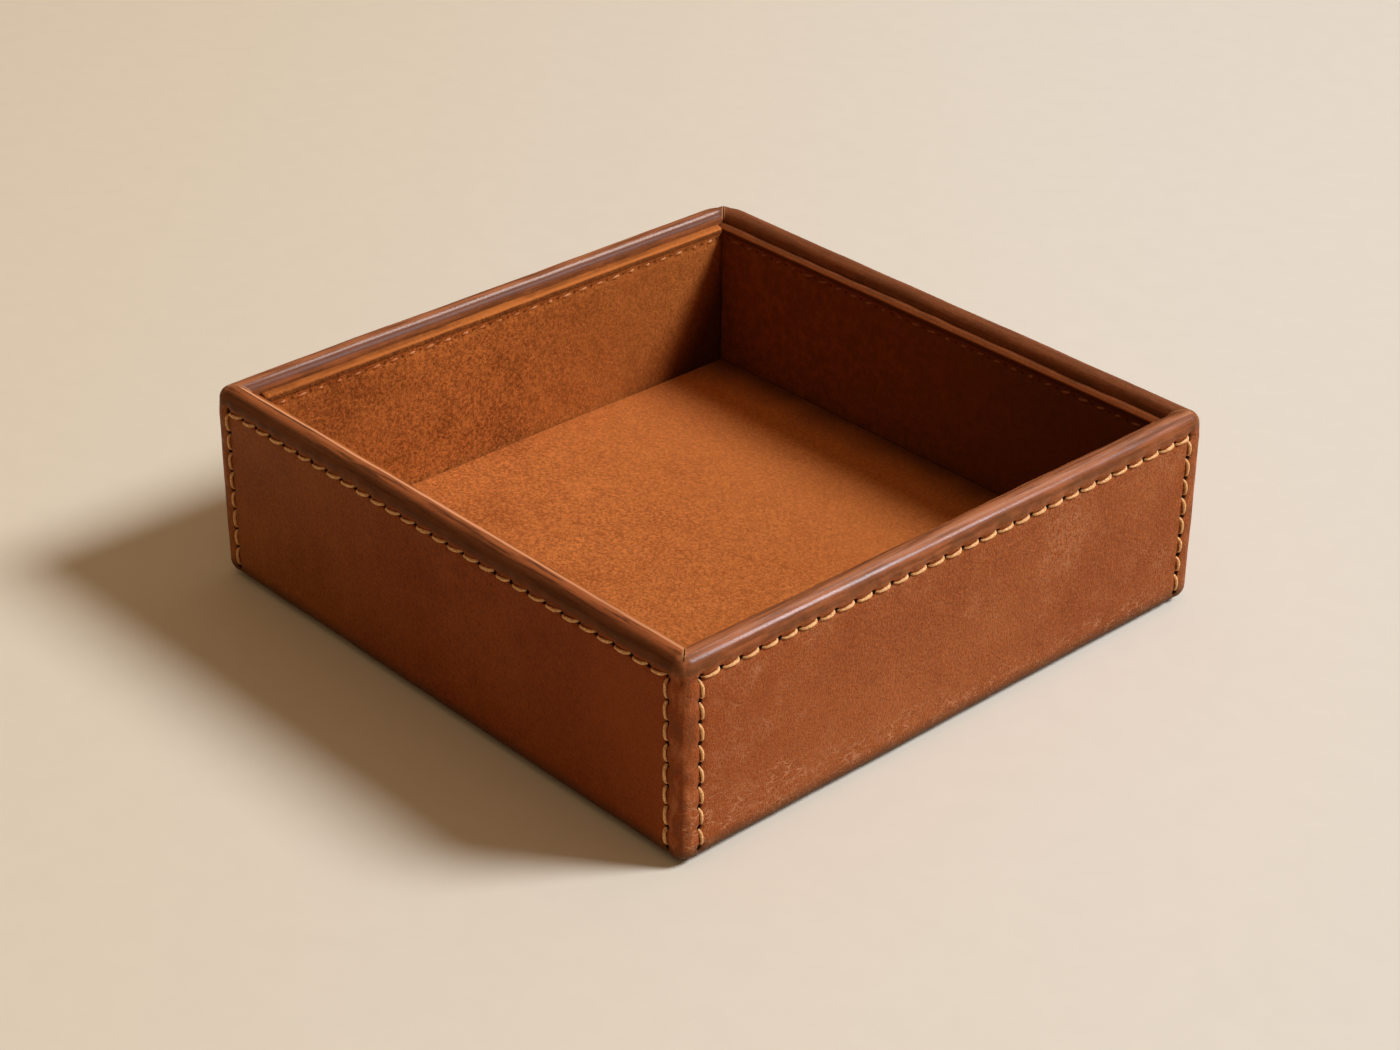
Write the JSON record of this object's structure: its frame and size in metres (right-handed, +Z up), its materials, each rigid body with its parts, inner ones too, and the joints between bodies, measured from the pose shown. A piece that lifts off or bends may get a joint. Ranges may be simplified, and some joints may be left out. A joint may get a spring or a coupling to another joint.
{
  "type": "valet tray",
  "caption": "Open square valet tray in brown leather over stiff boards, with a rolled rim, saddle-stitched edges and a suede lining.",
  "frame": {"origin": "middle of the underside, on the face that the tray stands on", "axes": "+Z up out of the open top, +X towards the right wall, -Y towards the front wall"},
  "size_m": [0.1654, 0.1654, 0.051],
  "materials": {
    "outer_leather": "smooth waxed brown leather, burnished darker along the edges",
    "wall_suede": "coarse brushed suede",
    "floor_suede": "fine napped suede",
    "underside_suede": "dark brushed suede",
    "thread": "waxed linen thread",
    "board": "plain sanded wood",
    "card": "plain grey-brown card"
  },
  "bodies": {
    "root": {"base_cover": "underside_suede", "base_board": "board", "outer_leather": "outer_leather", "floor_card": "card", "floor_lining": "floor_suede", "front_board": "board", "right_board": "board", "back_board": "board", "left_board": "board", "front_lining_card": "card", "right_lining_card": "card", "back_lining_card": "card", "left_lining_card": "card", "front_lining": "wall_suede", "right_lining": "wall_suede", "back_lining": "wall_suede", "left_lining": "wall_suede", "front_stitching": "thread", "right_stitching": "thread", "back_stitching": "thread", "left_stitching": "thread"}
  },
  "joints": []
}
